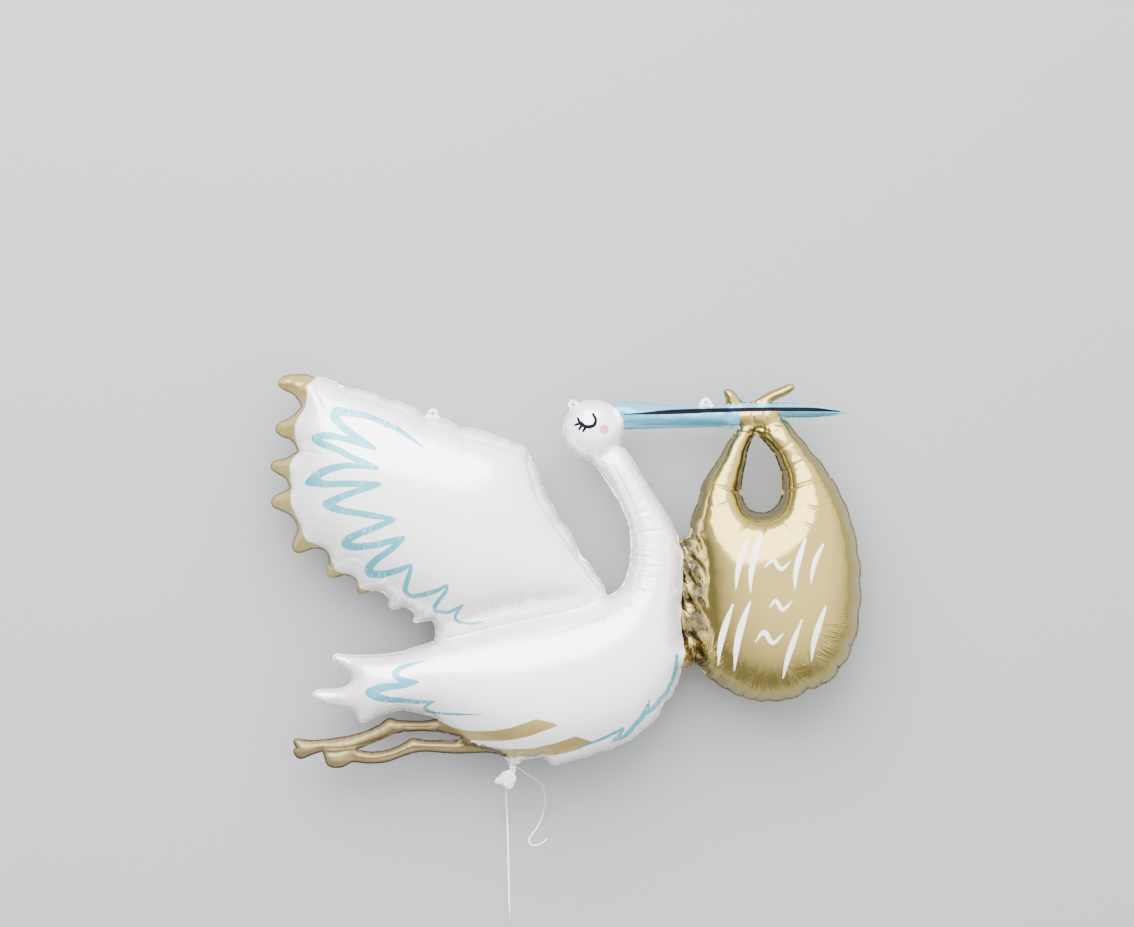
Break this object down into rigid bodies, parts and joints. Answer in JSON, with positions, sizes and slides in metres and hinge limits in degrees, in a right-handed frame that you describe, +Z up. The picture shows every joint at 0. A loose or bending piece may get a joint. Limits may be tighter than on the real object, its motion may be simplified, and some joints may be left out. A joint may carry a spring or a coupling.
{
  "type": "stork foil balloon",
  "caption": "Inflated foil balloon shaped like a flying stork with a bundle hanging from its beak, tied off with a curling ribbon, lying on its side.",
  "frame": {"origin": "on the floor under the middle of the foil envelope's box", "axes": "+X from the feather tips towards the bundle, +Y from the legs towards the beak, +Z up out of the side that faces up"},
  "size_m": [1.5699, 1.57, 0.2932],
  "materials": {
    "foil": "satin metallised film",
    "ribbon": "satin"
  },
  "bodies": {
    "root": {"foil_envelope": "foil", "ribbon_knot": "ribbon", "ribbon_long_end": "ribbon", "ribbon_coil": "ribbon", "ribbon_short_end": "ribbon"}
  },
  "joints": []
}
